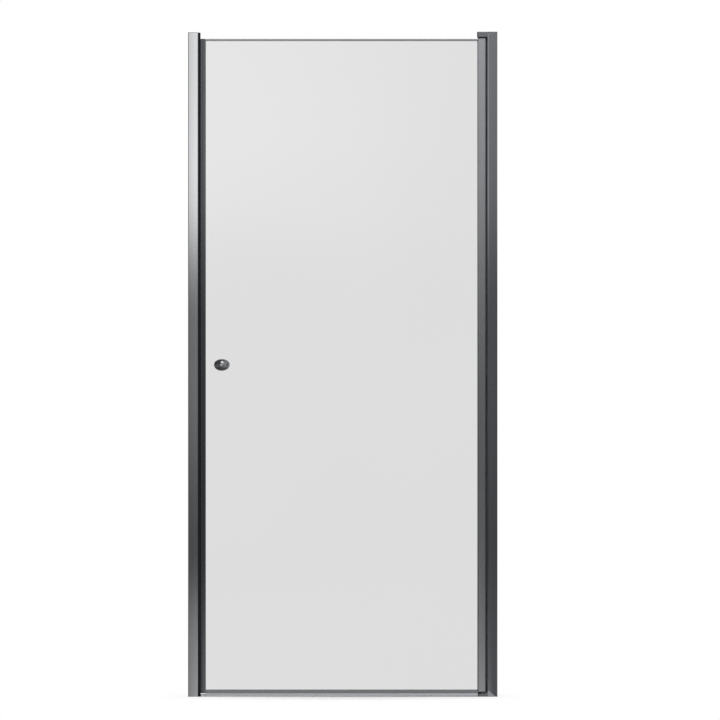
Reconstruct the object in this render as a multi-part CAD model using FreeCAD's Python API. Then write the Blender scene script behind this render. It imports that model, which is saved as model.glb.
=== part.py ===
import FreeCAD, Part
import math
import os

# Framed swing shower door for an alcove, in millimetres. X runs from the strike wall to the hinge wall,
# Y from outside to inside the shower and Z up. The origin is on the tray, midway between the walls, in the
# glass's plane.

# Opening that the door fills, wall to wall and from the tray to the top of the caps
opening_width = 884.0
overall_height = 1900.0

# Toughened glass, and the soft linings that grip it
glass_thickness = 5.0
glass_arris = 0.5
gasket_thickness = 1.5
gasket_base = 1.0
gasket_lip = 0.8
trim_gasket_thickness = 1.1

# Extruded profiles of the leaf
pocket_depth = 6.4
profile_web = 1.5
edge_round = 0.3
nose_wall = 1.3
near_fall = 1.0
far_fall = 2.0
fall_radius = 60.0
closing_corner = 1.2
closing_side_wall = 2.4
seal_pocket_depth = 5.8
seal_pocket_lip = 1.2
seal_pocket_mouth = 6.8
hinge_profile_depth = 22.0
hinge_wall = 1.8
hinge_corner = 2.5
swing_clearance = 0.5
rail_height = 9.2
rail_wall = 2.0
rail_round = 0.8
rail_engagement = 3.4
trim_height = 5.0
trim_wall = 1.0
joint_gap = 0.1
end_cap_thickness = 2.0
end_cap_peg = 5.0
glass_end_clearance = 0.4
leaf_top_step = 1.3

# Tee slots that hold the seals, and the seals' roots in them
slot_mouth = 3.0
slot_width = 5.4
slot_lip = 1.2
slot_depth = 3.6
slot_wall = 1.2
root_play = 0.1

# Magnetic closing seals, the stop fin and the other lips
strike_seal_thickness = 6.2
strike_seal_inset = 1.0
strike_seal_round = 1.2
magnet_width = 5.4
magnet_thickness = 2.4
magnet_skin = 0.8
magnet_gap = 0.7
stop_gap = 0.5
stop_reach = 12.5
fin_rise = 3.0
fin_thickness = 1.4
fin_base = 1.2
fin_base_half = 2.4
hinge_fin_clearance = 0.6
hinge_fin_angle = 42.0
wiper_gap = 0.5
wiper_drop = 1.4
wiper_base = 0.6
wiper_half = 2.2
wiper_lip = 0.7
wiper_setback = 0.6

# Telescoping posts and the wall channels round them
post_width = 22.6
post_wall = 1.5
post_corner = 1.0
post_reveal = 1.0
post_clearance = 0.3
rear_slot_inset = 5.2
port_inset = 4.6
port_spread = 20.0
port_bore = 4.2
port_wall = 1.4
port_gap = 1.6
channel_face = 27.6
channel_flange = 2.4
channel_web = 1.8
channel_corner = 2.5
channel_fillet = 0.6
crown_fall = 1.2
bevel_width = 2.5
bevel_drop = 0.9
wall_hole_diameter = 6.5
outer_hole_spacing = 1600.0
inner_hole_spacing = 540.0
running_gap = 3.8
cap_thickness = 3.0
strike_cap_thickness = 1.2
cap_round = 2.4
cap_ease = 0.8
cap_blade = 1.4
cap_blade_depth = 8.0
cap_blade_width = 6.0
cap_peg_radius = 2.4
cap_peg_length = 5.5
cap_peg_spread = 14.0
cap_peg_inset = 6.0

# Pivots: pins in the leaf that turn in flanged bushes in the blocks
pin_diameter = 7.0
pin_seat = 22.0
pin_end_gap = 0.5
pin_chamfer = 0.6
running_clearance = 0.05
bush_wall = 2.45
bush_flange = 1.0
bush_flange_width = 6.6
bush_end_gap = 1.0
bush_lead = 0.5
washer_thickness = 1.4
washer_clearance = 0.2
thrust_clearance = 0.1
plug_wall = 1.5
plug_length = 28.0
plug_plate = 2.4
plug_play = 0.1
plug_port_diameter = 3.2
upper_block_height = 12.0
lower_block_height = 11.0
block_end_wall = 2.5
nose_reach = 14.8
nose_corner = 4.0
boss_wall = 6.9
boss_clearance = 0.3
neck_step = 2.0
base_corner = 2.0
base_drop = 0.2
cheek_height = 19.0
cheek_reach = 23.5
cheek_lean = 2.0
cheek_gap = 0.2
block_ease = 0.5
top_gap = 3.3
upper_flange_gap = 0.5

# Threshold on the tray
threshold_height = 7.0
threshold_front_height = 4.2
threshold_back_height = 2.0
threshold_wall = 1.3
crest_setback = 8.0
crest_width = 4.0
crest_round = 1.0
tape_thickness = 1.0
tape_margin = 4.0
tape_floor = 1.2
end_plug_flange = 2.0
end_plug_spigot = 12.0
end_plug_play = 0.2
seal_notch_play = 0.3

# Knob through the glass
knob_backset = 60.5
knob_height = 948.0
knob_head_width = 43.8
knob_head_height = 33.6
knob_front_bulge = 13.0
knob_back_bulge = 10.0
knob_head_centre = 22.0
knob_stem_radius = 8.0
knob_foot_radius = 11.0
knob_foot_thickness = 3.0
knob_foot_chamfer = 0.8
knob_stem_flare = 4.0
knob_gasket_thickness = 1.0
stud_radius = 3.0
stud_engagement = 16.0
stud_play = 0.1
sleeve_wall = 2.8
sleeve_play = 0.2
grub_radius = 2.0
grub_offset = 9.5
socket_across = 2.0
socket_depth = 1.8

# Screws
screw_play = 0.1
block_screw_radius = 2.0
block_screw_head = 3.4
block_screw_grip = 15.0
plug_screw_radius = 1.5
plug_screw_head = 2.8
plug_screw_grip = 14.0
head_rim = 0.3
lock_screw_radius = 2.0
lock_screw_head = 3.8
lock_screw_head_height = 2.4
lock_screw_length = 7.0
lock_screw_spacing = 700.0
lock_cap_radius = 5.2
lock_cap_height = 3.6
lock_cap_wall = 1.0

# Depths from the glass's plane, built outwards from the glass
pocket_width = glass_thickness + 2 * gasket_thickness
closing_nose = pocket_width + 2 * nose_wall
closing_depth = closing_nose + 2 * (near_fall + far_fall)
rail_half = pocket_width / 2 + rail_wall
trim_pocket = glass_thickness + 2 * trim_gasket_thickness
trim_half = trim_pocket / 2 + trim_wall
fin_face = closing_depth / 2 + stop_gap
rear_slot_y = fin_face + fin_rise
post_half = rear_slot_y + rear_slot_inset
channel_half = post_half + post_clearance + channel_flange

# Places across the opening; post places are measured from the wall
half_width = opening_width / 2
channel_shoulder = channel_face - bevel_width
post_front = channel_face + post_reveal
post_back = post_front - post_width
port_place = post_back + port_inset
port_outer = port_bore / 2 + port_wall
housing_start = post_front - slot_depth - slot_wall
post_middle = (port_place + port_outer + housing_start) / 2
strike_post_face = -half_width + post_front
strike_face = strike_post_face + strike_seal_thickness
leaf_edge = strike_face + magnet_gap
closing_right = leaf_edge + seal_pocket_depth + profile_web + pocket_depth
pin_radius = pin_diameter / 2
bush_radius = pin_radius + running_clearance + bush_wall
boss_radius = bush_radius + boss_wall
hinge_half = hinge_profile_depth / 2
swing_radius = hinge_half + running_gap - swing_clearance
square_reach = math.sqrt(2)
hinge_back_corner = (hinge_half * square_reach - swing_radius) / (square_reach - 1)
chamber_half = hinge_half - hinge_wall
chamber_corner = max(hinge_back_corner - hinge_wall, edge_round)
chamber_flat = pin_radius + plug_wall
hinge_post_face = half_width - post_front
axis_x = hinge_post_face - running_gap - hinge_half
hinge_left = axis_x - chamber_flat - profile_web - pocket_depth
glass_left = closing_right - pocket_depth + gasket_base
glass_right = hinge_left + pocket_depth - gasket_base
rail_right = min(hinge_left - joint_gap, axis_x - boss_radius - boss_clearance)
knob_x = leaf_edge + knob_backset

# Heights above the tray
middle_height = overall_height / 2
frame_top = overall_height - cap_thickness
strike_top = frame_top + strike_cap_thickness
upper_block_bottom = frame_top - upper_block_height
hinge_top = upper_block_bottom - top_gap
hinge_bottom = lower_block_height + bush_flange + washer_thickness + thrust_clearance
upper_flange = top_gap - upper_flange_gap
leaf_top = hinge_top - leaf_top_step
wiper_bottom = threshold_height + wiper_gap
leaf_bottom = wiper_bottom + wiper_drop
base_height = threshold_height - base_drop
rail_top = leaf_bottom + rail_height
glass_bottom = max(rail_top - rail_engagement, hinge_bottom + joint_gap)
glass_top = leaf_top - end_cap_thickness - glass_end_clearance
wall_hole_heights = [middle_height + sign * spacing / 2
                     for spacing in (outer_hole_spacing, inner_hole_spacing) for sign in (-1, 1)]
lock_heights = [middle_height + step * lock_screw_spacing for step in (-1, 0, 1)]

STRIKE = -1
HINGE = 1
SAME_POINT = 1e-6
UP = FreeCAD.Vector(0, 0, 1)
OUTSIDE = FreeCAD.Vector(0, -1, 0)


def point(x, y, z):
    return FreeCAD.Vector(x, y, z)


def rounded_corner(before, here, after, radius):
    """Start, crown and end of the arc that rounds the corner at here."""
    to_before = (before - here).normalize()
    to_after = (after - here).normalize()
    half_angle = to_before.getAngle(to_after) / 2
    reach = radius / math.tan(half_angle)
    bisector = (to_before + to_after).normalize()
    crown = here + bisector * (radius / math.sin(half_angle) - radius)
    return here + to_before * reach, crown, here + to_after * reach


def outline(corners):
    """Closed wire through (point, radius) corners, each corner rounded by its radius."""
    bends = []
    for index, (here, radius) in enumerate(corners):
        before = corners[index - 1][0]
        after = corners[(index + 1) % len(corners)][0]
        bends.append(rounded_corner(before, here, after, radius))
    edges = []
    for index, (start, crown, end) in enumerate(bends):
        last_end = bends[index - 1][2]
        if last_end.distanceToPoint(start) > SAME_POINT:
            edges.append(Part.makeLine(last_end, start))
        if start.distanceToPoint(end) > SAME_POINT:
            edges.append(Part.Arc(start, crown, end).toShape())
    return Part.Wire(edges)


def upright(corners, bottom, top):
    """Vertical length of a section with (x, y, radius) corners."""
    placed = [(point(x, y, bottom), radius) for x, y, radius in corners]
    return Part.Face(outline(placed)).extrude(point(0, 0, top - bottom))


def lying(corners, left, right):
    """Level length, along the opening, of a section with (y, z, radius) corners."""
    placed = [(point(left, y, z), radius) for y, z, radius in corners]
    return Part.Face(outline(placed)).extrude(point(right - left, 0, 0))


def crosswise(corners, front, back):
    """Front-to-back length of a section with (x, z, radius) corners."""
    placed = [(point(x, front, z), radius) for x, z, radius in corners]
    return Part.Face(outline(placed)).extrude(point(0, back - front, 0))


def rectangle(low_a, high_a, low_b, high_b, radius=0.0):
    return [(low_a, low_b, radius), (high_a, low_b, radius),
            (high_a, high_b, radius), (low_a, high_b, radius)]


def from_wall(side, corners):
    """Corners given by their distance from one wall, as X places."""
    return [(side * (half_width - distance), y, radius) for distance, y, radius in corners]


def hanging(corners):
    """Corners of a sideways tee section, turned so that the tee stands upright over its mouth."""
    return [(across, -along, radius) for along, across, radius in corners]


def rod(radius, start, end):
    along = end - start
    return Part.makeCylinder(radius, along.Length, start, along)


def turned(corners, base, axis):
    """Solid of revolution through (distance along the axis, radius) corners."""
    outwards = point(1, 0, 0)
    points = [base + axis * along + outwards * radius for along, radius in corners]
    return Part.Face(Part.makePolygon(points + points[:1])).revolve(base, axis, 360)


def countersunk(base, inwards, radius, head_radius, length):
    """Countersunk screw whose head is flush with base."""
    cone = head_rim + head_radius - radius
    corners = [(0, 0), (0, head_radius), (head_rim, head_radius), (cone, radius)]
    corners += [(length - radius, radius), (length, 0)]
    return turned(corners, base, inwards)


def countersink(base, inwards, radius, head_radius, length):
    """Clearance hole and seat for a countersunk screw."""
    seat = countersunk(base, inwards, radius, head_radius, length)
    return seat.fuse(rod(radius + screw_play, base, base + inwards * length))


def eased(shape, height, radius):
    """Shape with its edges in the level plane at a height rounded."""
    level = [edge for edge in shape.Edges
             if max(abs(end.Z - height) for end in edge.Vertexes) < SAME_POINT
             and abs(edge.CenterOfMass.z - height) < SAME_POINT]
    return shape.makeFillet(radius, level)


def save(node, solids):
    os.makedirs("parts", exist_ok=True)
    pieces = [solid for shape in solids for solid in shape.Solids]
    Part.makeCompound(pieces).exportStep("parts/" + node + ".step")


# Wall channels


def lock_hole(side, height):
    """Hole for a lock screw through a channel's inner flange and the post behind it."""
    x = side * (half_width - post_middle)
    start = point(x, channel_half, height)
    end = point(x, channel_half - lock_screw_length, height)
    return rod(lock_screw_radius + screw_play, start, end)


def crowned_face():
    """Corners of a channel's outer face, which falls away towards the wall."""
    middle = (channel_shoulder + channel_corner) / 2
    turn = math.atan(crown_fall / middle)
    radius = (channel_shoulder - middle) / math.tan(turn / 2)
    return [(0, -channel_half + crown_fall, channel_corner), (middle, -channel_half, radius)]


def foot_triangle(gap):
    """Corners, at the hinge channel's foot, of the cut-out for the lower block's cheek, less a gap."""
    slope_length = math.hypot(cheek_reach, cheek_height)
    mouth = half_width - channel_face
    far = mouth + cheek_reach - gap * slope_length / cheek_height
    top = cheek_height - gap * slope_length / cheek_reach
    return [(mouth, 0, 0), (far, 0, 0), (mouth, top, 0)]


def wall_channel(side):
    inner = channel_half - channel_flange
    section = crowned_face() + [
        (channel_shoulder, -channel_half, 0),
        (channel_face, -channel_half + bevel_drop, 0),
        (channel_face, -inner, 0),
        (channel_web, -inner, channel_fillet),
        (channel_web, inner, channel_fillet),
        (channel_face, inner, 0),
        (channel_face, channel_half - bevel_drop, 0),
        (channel_shoulder, channel_half, 0),
        (0, channel_half, channel_corner),
    ]
    channel = upright(from_wall(side, section), 0, frame_top)
    holes = [lock_hole(side, height) for height in lock_heights]
    for height in wall_hole_heights:
        wall = point(side * half_width, 0, height)
        holes.append(rod(wall_hole_diameter / 2, wall, wall - point(side * channel_web, 0, 0)))
    if side == HINGE:
        holes.append(crosswise(foot_triangle(0), -channel_half - channel_flange, -inner))
    return channel.cut(holes)


# Telescoping posts


def tee_slot(face, y):
    """Section of a seal slot whose mouth is in the plane at face."""
    mouth = slot_mouth / 2
    wide = slot_width / 2
    neck = face - slot_lip
    floor = face - slot_depth
    return [(face, y - mouth, 0), (neck, y - mouth, 0), (neck, y - wide, 0), (floor, y - wide, 0),
            (floor, y + wide, 0), (neck, y + wide, 0), (neck, y + mouth, 0), (face, y + mouth, 0)]


def tee_root(face, y):
    """Corners of a seal's root in such a slot, from the mouth's far side to its near side."""
    mouth = slot_mouth / 2 - root_play
    wide = slot_width / 2 - root_play
    neck = face - slot_lip - root_play
    floor = face - slot_depth + root_play
    return [(face, y + mouth, 0), (neck, y + mouth, 0), (neck, y + wide, 0), (floor, y + wide, 0),
            (floor, y - wide, 0), (neck, y - wide, 0), (neck, y - mouth, 0), (face, y - mouth, 0)]


def screw_ports(side):
    """Places of a post's two screw ports."""
    x = side * (half_width - port_place)
    return [point(x, sign * port_spread / 2, 0) for sign in (-1, 1)]


def post(side, bottom, top, slot_places):
    """Hollow post with tee slots in its face and open screw ports along its back."""
    section = rectangle(post_back, post_front, -post_half, post_half, post_corner)
    body = upright(from_wall(side, section), bottom, top)
    inner = post_half - post_wall
    hollow_section = rectangle(post_back + post_wall, post_front - post_wall, -inner, inner)
    hollow = upright(from_wall(side, hollow_section), bottom, top)
    ribs = []
    openings = [lock_hole(side, height) for height in lock_heights]
    for y in slot_places:
        reach = slot_width / 2 + slot_wall
        housing = rectangle(housing_start, post_front, y - reach, y + reach)
        ribs.append(upright(from_wall(side, housing), bottom, top))
        openings.append(upright(from_wall(side, tee_slot(post_front, y)), bottom, top))
    for place in screw_ports(side):
        foot = place + UP * bottom
        head = place + UP * top
        ribs.append(rod(port_outer, foot, head))
        openings.append(rod(port_bore / 2, foot, head))
        gap = rectangle(port_place, port_place + port_outer, place.y - port_gap / 2, place.y + port_gap / 2)
        openings.append(upright(from_wall(side, gap), bottom, top))
    return body.cut([hollow.cut(ribs)] + openings)


# Seals on the posts


def strike_magnet_seal():
    """Strip with a tee root in the post, whose rounded head stands beside the top cap."""
    half = closing_depth / 2 - strike_seal_inset
    face = post_front + strike_seal_thickness
    strip = [(post_front, -half, 0), (face, -half, strike_seal_round), (face, half, strike_seal_round),
             (post_front, half, 0)]
    seal = upright(from_wall(STRIKE, strip + tee_root(post_front, 0)), 0, frame_top)
    side_view = [(strike_post_face, frame_top, 0), (strike_face, frame_top, 0),
                 (strike_face, strike_top, min(cap_round, strike_cap_thickness)),
                 (strike_post_face, strike_top, 0)]
    head = upright(from_wall(STRIKE, strip), frame_top, strike_top)
    head = head.common(crosswise(side_view, -half, half))
    seal = seal.fuse(head).removeSplitter()
    return seal.cut(magnet(strike_face - magnet_skin, -1, root_play, 0, frame_top))


def magnet(face_x, inwards, play, bottom, top):
    """Magnet strip behind the skin at face_x, or its cavity where play is given."""
    near = face_x + inwards * -play
    far = face_x + inwards * (magnet_thickness + play)
    half = magnet_width / 2 + play
    return upright(rectangle(min(near, far), max(near, far), -half, half), bottom, top)


def strike_stop_seal():
    """Fin behind the leaf's free edge, from over the threshold to the leaf's top."""
    tip = post_front + stop_reach
    section = [
        (post_front, rear_slot_y - fin_base_half, 0),
        (tip, fin_face, edge_round),
        (tip, fin_face + fin_thickness, edge_round),
        (post_front + fin_base + fin_thickness, rear_slot_y + fin_thickness / 2, 0),
        (post_front + fin_base, rear_slot_y + fin_base_half, 0),
        (post_front, rear_slot_y + fin_base_half, 0),
    ]
    section += tee_root(post_front, rear_slot_y)
    return upright(from_wall(STRIKE, section), threshold_height + wiper_gap, leaf_top)


def hinge_lip_seal():
    """Fin whose tip stays just clear of the hinge profile's corners as they swing past."""
    tip_radius = swing_radius + hinge_fin_clearance
    angle = math.radians(hinge_fin_angle)
    axis_distance = half_width - axis_x
    tip = axis_distance - tip_radius * math.cos(angle)
    tip_y = tip_radius * math.sin(angle)
    section = [
        (post_front, rear_slot_y - fin_base_half, 0),
        (tip, tip_y, edge_round),
        (tip, tip_y + fin_thickness, edge_round),
        (post_front + fin_base, rear_slot_y + fin_base_half, 0),
        (post_front, rear_slot_y + fin_base_half, 0),
    ]
    section += tee_root(post_front, rear_slot_y)
    return upright(from_wall(HINGE, section), lower_block_height, upper_block_bottom)


# Top caps


def channel_lid(side, front, top):
    """Plate over a channel, out to a distance from the wall."""
    corner = min(cap_round, bevel_width)
    plan = crowned_face()
    plan += [(front, -channel_half, corner), (front, channel_half, corner), (0, channel_half, 0)]
    return upright(from_wall(side, plan), frame_top, top)


def strike_top_cap():
    """Cap over the channel and post, with blades that grip inside the post."""
    cap = eased(channel_lid(STRIKE, post_front, strike_top), strike_top, cap_ease)
    blade_out = post_half - post_wall - root_play
    for sign in (-1, 1):
        near = sign * blade_out
        far = sign * (blade_out - cap_blade)
        blade = rectangle(post_middle - cap_blade_width / 2, post_middle + cap_blade_width / 2,
                          min(near, far), max(near, far))
        cap = cap.fuse(upright(from_wall(STRIKE, blade), frame_top - cap_blade_depth, frame_top))
    return cap.removeSplitter()


def block_plan():
    """Plan of the upper block: a square nose past the pivot axis, running back into the channel."""
    back = half_width - post_back
    nose = axis_x - nose_reach
    return [(back, -post_half, 0), (nose, -post_half, nose_corner),
            (nose, post_half, nose_corner), (back, post_half, 0)]


def cap_pegs(radius, length):
    x = hinge_post_face + cap_peg_inset
    feet = [point(x, sign * cap_peg_spread / 2, frame_top - length) for sign in (-1, 1)]
    return [rod(radius, foot, foot + UP * length) for foot in feet]


def hinge_top_cap():
    """Cap over the channel and the upper block, pegged into the block."""
    nose = upright(block_plan(), frame_top, overall_height)
    cap = channel_lid(HINGE, channel_face, overall_height).fuse(nose).removeSplitter()
    cap = eased(cap, overall_height, cap_ease)
    return cap.fuse(cap_pegs(cap_peg_radius, cap_peg_length)).removeSplitter()


# Pivot blocks, bushes and thrust washer


def block_screw_places(face):
    """Flush head centres of one block's screws, on the axes of the hinge post's ports."""
    return [place + UP * face for place in screw_ports(HINGE)]


def block_screw_length(block_height):
    return block_height + block_screw_grip


def upper_pivot_block():
    block = eased(upright(block_plan(), upper_block_bottom, frame_top), upper_block_bottom, block_ease)
    foot = point(axis_x, 0, upper_block_bottom)
    cuts = [rod(bush_radius, foot, foot + UP * (upper_block_height - block_end_wall))]
    cuts += cap_pegs(cap_peg_radius + root_play, cap_peg_length + root_play)
    for place in block_screw_places(frame_top):
        length = block_screw_length(upper_block_height)
        cuts.append(countersink(place, -UP, block_screw_radius, block_screw_head, length))
    return block.cut(cuts)


def block_cheek():
    """Leaning triangle of the lower block that closes the cut-out in the channel's outer flange."""
    face = -channel_half
    inner = -channel_half + channel_flange
    side_view = [(face, 0, 0), (face + cheek_lean, cheek_height, 0), (inner, cheek_height, 0),
                 (inner, lower_block_height, 0), (-post_half, lower_block_height, 0), (-post_half, 0, 0)]
    mouth = half_width - channel_face
    bar = lying(side_view, mouth, mouth + cheek_reach)
    return bar.common(crosswise(foot_triangle(cheek_gap), face, -post_half))


def lower_pivot_block():
    """Low base as wide as the post, a round boss about the pivot axis, a seat under the post and a cheek."""
    back = half_width - post_back
    front = axis_x - boss_radius
    plan = [(front, -post_half, base_corner), (back, -post_half, 0), (back, post_half, 0),
            (front, post_half, base_corner)]
    base = eased(upright(plan, 0, base_height), base_height, block_ease)
    axis_foot = point(axis_x, 0, 0)
    boss = rod(boss_radius, axis_foot, axis_foot + UP * lower_block_height)
    boss = eased(boss, lower_block_height, block_ease)
    neck_half = boss_radius - neck_step
    neck = upright(rectangle(axis_x, back, -neck_half, neck_half), 0, lower_block_height)
    seat = upright(rectangle(hinge_post_face, back, -post_half, post_half), 0, lower_block_height)
    block = base.fuse([boss, neck, seat, block_cheek()]).removeSplitter()
    cuts = [rod(bush_radius, axis_foot + UP * block_end_wall, axis_foot + UP * lower_block_height)]
    for place in block_screw_places(0):
        length = block_screw_length(lower_block_height)
        cuts.append(countersink(place, UP, block_screw_radius, block_screw_head, length))
    return block.cut(cuts)


def pivot_bush(face, inwards, block_height, flange_thickness):
    """Flanged bush pressed into a block from its open face."""
    bore = pin_radius + running_clearance
    flange = bush_radius + bush_flange_width
    length = block_height - block_end_wall - bush_end_gap
    corners = [(-flange_thickness, bore), (-flange_thickness, flange), (0, flange), (0, bush_radius),
               (length - bush_lead, bush_radius), (length, bush_radius - bush_lead), (length, bore)]
    return turned(corners, point(axis_x, 0, face), inwards)


def thrust_washer():
    inner = pin_radius + washer_clearance
    outer = bush_radius + bush_flange_width
    corners = [(0, inner), (0, outer), (washer_thickness, outer), (washer_thickness, inner)]
    return turned(corners, point(axis_x, 0, lower_block_height + bush_flange), UP)


def pivot_block_screws():
    upper_length = block_screw_length(upper_block_height)
    lower_length = block_screw_length(lower_block_height)
    screws = []
    for place in block_screw_places(frame_top):
        screws.append(countersunk(place, -UP, block_screw_radius, block_screw_head, upper_length))
    for place in block_screw_places(0):
        screws.append(countersunk(place, UP, block_screw_radius, block_screw_head, lower_length))
    return screws


def lock_fasteners():
    """Pan-head lock screws on the channels' inner flanges, and the snap caps over their heads."""
    screws = []
    caps = []
    crown = lock_cap_height - lock_cap_wall
    for side in (STRIKE, HINGE):
        for height in lock_heights:
            seat = point(side * (half_width - post_middle), channel_half, height)
            screw = [(-lock_screw_head_height, 0), (-lock_screw_head_height, lock_screw_radius),
                     (-lock_screw_head_height / 2, lock_screw_head), (0, lock_screw_head),
                     (0, lock_screw_radius), (lock_screw_length - lock_screw_radius, lock_screw_radius),
                     (lock_screw_length, 0)]
            cap = [(0, lock_cap_radius - lock_cap_wall), (0, lock_cap_radius), (-crown, lock_cap_radius),
                   (-lock_cap_height, lock_cap_radius - 2 * lock_cap_wall), (-lock_cap_height, 0),
                   (-crown, 0), (-crown, lock_cap_radius - lock_cap_wall)]
            screws.append(turned(screw, seat, OUTSIDE))
            caps.append(turned(cap, seat, OUTSIDE))
    return screws, caps


# Threshold


def threshold_section():
    half = post_half + post_clearance
    crest_front = -half + crest_setback
    crest_back = crest_front + crest_width
    return [(-half, 0, 0), (-half, threshold_front_height, crest_round),
            (crest_front, threshold_height, crest_round), (crest_back, threshold_height, crest_round),
            (half, threshold_back_height, edge_round), (half, 0, 0)]


def threshold_hollow(play):
    """Section of the threshold's inner chamber, shrunk by play."""
    half = post_half + post_clearance
    wall = threshold_wall + play
    floor = tape_thickness + tape_floor + play
    crest_front = -half + crest_setback
    crest_back = crest_front + crest_width
    fall = (threshold_height - threshold_back_height) / (half - crest_back)
    roof = threshold_height - wall
    back = crest_back + (roof - floor) / fall
    front_roof = max(threshold_front_height - wall, floor + edge_round)
    return [(-half + wall, floor, 0), (-half + wall, front_roof, 0), (crest_front, roof, 0),
            (crest_back, roof, 0), (back, floor, 0)]


def tape_section():
    half = post_half + post_clearance - tape_margin
    return rectangle(-half, half, 0, tape_thickness)


def threshold_span():
    return strike_face + end_plug_flange, axis_x - boss_radius


def threshold_rail():
    left, right = threshold_span()
    rail = lying(threshold_section(), left, right)
    return rail.cut([lying(threshold_hollow(0), left, right), lying(tape_section(), left, right)])


def threshold_bedding_tape():
    left, right = threshold_span()
    return lying(tape_section(), left, right)


def threshold_end_plug():
    """Moulded end that closes the rail and fits round the magnet seal, up to the strike post."""
    left = threshold_span()[0]
    body = lying(threshold_section(), strike_post_face, left)
    notch_half = closing_depth / 2 - strike_seal_inset + seal_notch_play
    notch = rectangle(strike_post_face, strike_face, -notch_half, notch_half)
    spigot = lying(threshold_hollow(end_plug_play), left - end_plug_flange, left + end_plug_spigot)
    return body.cut(upright(notch, 0, threshold_height)).fuse(spigot).removeSplitter()


# Leaf: free edge


def closing_outer(pocket):
    """Section of the free edge's profile; pocket leaves the glass and seal pockets open."""
    half = closing_depth / 2
    nose = closing_nose / 2
    middle = (leaf_edge + closing_right) / 2
    brow = nose + far_fall
    front = [(leaf_edge, -half, closing_corner), (middle, -brow, fall_radius),
             (closing_right, -nose, edge_round)]
    back = [(closing_right, nose, edge_round), (middle, brow, fall_radius),
            (leaf_edge, half, closing_corner)]
    if not pocket:
        return front + back
    grip = pocket_width / 2
    floor = closing_right - pocket_depth
    glass_pocket = [(closing_right, -grip, edge_round), (floor, -grip, 0), (floor, grip, 0),
                    (closing_right, grip, edge_round)]
    mouth = seal_pocket_mouth / 2
    wide = half - closing_side_wall
    lip = leaf_edge + seal_pocket_lip
    seal_floor = leaf_edge + seal_pocket_depth
    seal_pocket = [(leaf_edge, mouth, 0), (lip, mouth, 0), (lip, wide, edge_round),
                   (seal_floor, wide, edge_round), (seal_floor, -wide, edge_round),
                   (lip, -wide, edge_round), (lip, -mouth, 0), (leaf_edge, -mouth, 0)]
    return front + glass_pocket + back + seal_pocket


def closing_profile():
    return upright(closing_outer(True), leaf_bottom + end_cap_thickness, leaf_top - end_cap_thickness)


def seal_pocket_filling():
    """Tee section that fills the seal pocket, less the seal's play."""
    mouth = seal_pocket_mouth / 2 - root_play
    wide = closing_depth / 2 - closing_side_wall - root_play
    lip = leaf_edge + seal_pocket_lip + root_play
    floor = leaf_edge + seal_pocket_depth - root_play
    return [(leaf_edge, -mouth, 0), (lip, -mouth, 0), (lip, -wide, edge_round), (floor, -wide, edge_round),
            (floor, wide, edge_round), (lip, wide, edge_round), (lip, mouth, 0), (leaf_edge, mouth, 0)]


def leaf_seal_span():
    setback = end_cap_thickness + end_cap_peg + joint_gap
    return leaf_bottom + setback, leaf_top - setback


def leaf_magnet_seal():
    bottom, top = leaf_seal_span()
    seal = upright(seal_pocket_filling(), bottom, top)
    return seal.cut(magnet(leaf_edge + magnet_skin, 1, root_play, bottom, top))


def closing_end_cap():
    """Lower end cap, with a peg in the seal pocket."""
    plate = upright(closing_outer(False), leaf_bottom, leaf_bottom + end_cap_thickness)
    peg = upright(seal_pocket_filling(), leaf_bottom, leaf_bottom + end_cap_thickness + end_cap_peg)
    return plate.fuse(peg).removeSplitter()


def at_top(shape, bottom, top):
    """Copy of a lower piece, mirrored to the upper end of the span from bottom to top."""
    return shape.mirror(point(0, 0, (bottom + top) / 2), UP)


def gasket_section(floor, opens, grip, base, depth):
    """U lining of a pocket that opens along +1 or -1 from its floor; (along, across, radius) corners."""
    hold = glass_thickness / 2
    rim = floor + opens * (depth + gasket_lip)
    seat = floor + opens * base
    return [(floor, -grip, 0), (rim, -grip, edge_round), (rim, -hold, 0), (seat, -hold, 0),
            (seat, hold, 0), (rim, hold, 0), (rim, grip, edge_round), (floor, grip, 0)]


def closing_gasket():
    section = gasket_section(closing_right - pocket_depth, 1, pocket_width / 2, gasket_base, pocket_depth)
    return upright(section, glass_bottom, glass_top)


# Leaf: hinge edge and pivots


def hinge_outer():
    grip = pocket_width / 2
    floor = hinge_left + pocket_depth
    back = axis_x + hinge_half
    return [(hinge_left, -hinge_half, hinge_corner), (back, -hinge_half, hinge_back_corner),
            (back, hinge_half, hinge_back_corner), (hinge_left, hinge_half, hinge_corner),
            (hinge_left, grip, edge_round), (floor, grip, 0), (floor, -grip, 0),
            (hinge_left, -grip, edge_round)]


def hinge_chamber(play):
    flat = axis_x - chamber_flat + play
    half = chamber_half - play
    back = axis_x + half
    return [(flat, -half, edge_round), (back, -half, chamber_corner),
            (back, half, chamber_corner), (flat, half, edge_round)]


def plug_ports():
    """Places of the screw ports in the hinge profile's two cheeks."""
    x = hinge_left + (pocket_depth + profile_web) / 2
    y = (pocket_width / 2 + hinge_half) / 2
    return [point(x, sign * y, 0) for sign in (-1, 1)]


def hinge_profile():
    """Extrusion with a glass pocket, a chamber round the pivot axis and screw ports in the cheeks."""
    bottom = hinge_bottom + plug_plate
    top = hinge_top - plug_plate
    cuts = [upright(hinge_chamber(0), bottom, top)]
    for place in plug_ports():
        cuts.append(rod(plug_port_diameter / 2, place + UP * bottom, place + UP * top))
    return upright(hinge_outer(), bottom, top).cut(cuts)


def hinge_gasket():
    section = gasket_section(hinge_left + pocket_depth, -1, pocket_width / 2, gasket_base, pocket_depth)
    return upright(section, glass_bottom, glass_top)


def plug_screw_places():
    return [place + UP * hinge_bottom for place in plug_ports()]


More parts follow.
